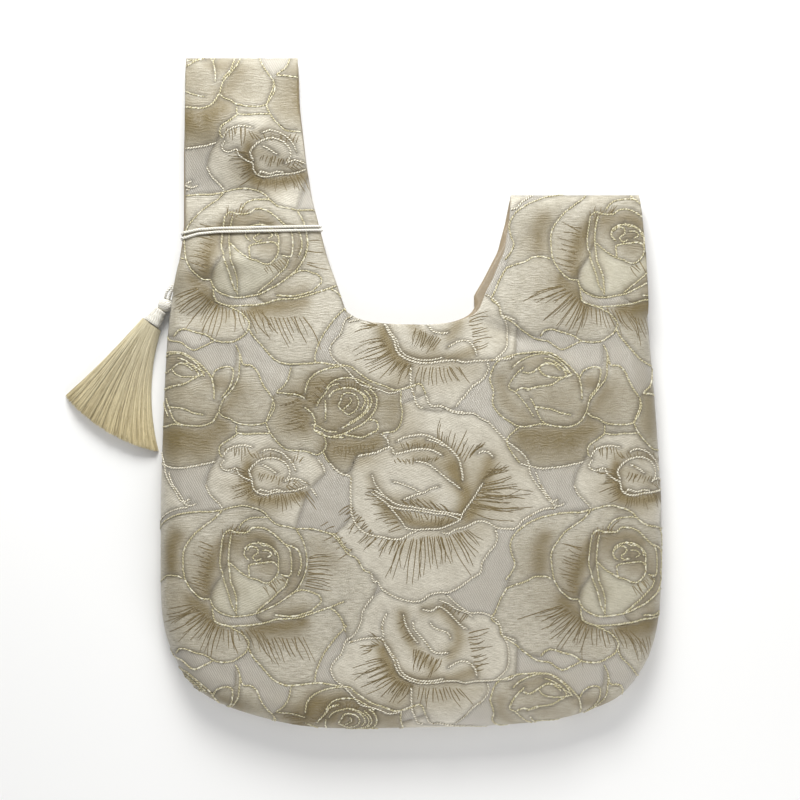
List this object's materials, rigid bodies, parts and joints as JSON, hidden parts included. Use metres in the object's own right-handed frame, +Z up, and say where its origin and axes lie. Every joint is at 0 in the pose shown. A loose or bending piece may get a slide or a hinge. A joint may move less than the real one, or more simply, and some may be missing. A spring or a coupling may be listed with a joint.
{
  "type": "wrist bag",
  "caption": "Lined fabric knot bag lying flat, with a long and a short strap loop, an open neck between them and a tassel hitched to the long strap by a fine cord.",
  "frame": {"origin": "centre of the underside's bounding box, on the surface that the bag lies on", "axes": "+Z up off the surface, through the front of the bag; +Y from the bag's rounded bottom to the top of its straps; +X from the long strap to the short strap"},
  "size_m": [0.2856, 0.322, 0.0221],
  "materials": {
    "brocade": "ivory and champagne jacquard with a woven rose pattern, satin sheen",
    "lining": "plain beige satin",
    "cord": "cream twisted thread",
    "silk": "champagne silk threads"
  },
  "bodies": {
    "root": {"front_panel": "brocade", "back_panel": "brocade", "front_lining": "lining", "back_lining": "lining", "tassel_cord": "cord", "tassel_knot": "cord", "tassel_neck": "cord", "tassel_skirt": "silk"}
  },
  "joints": []
}
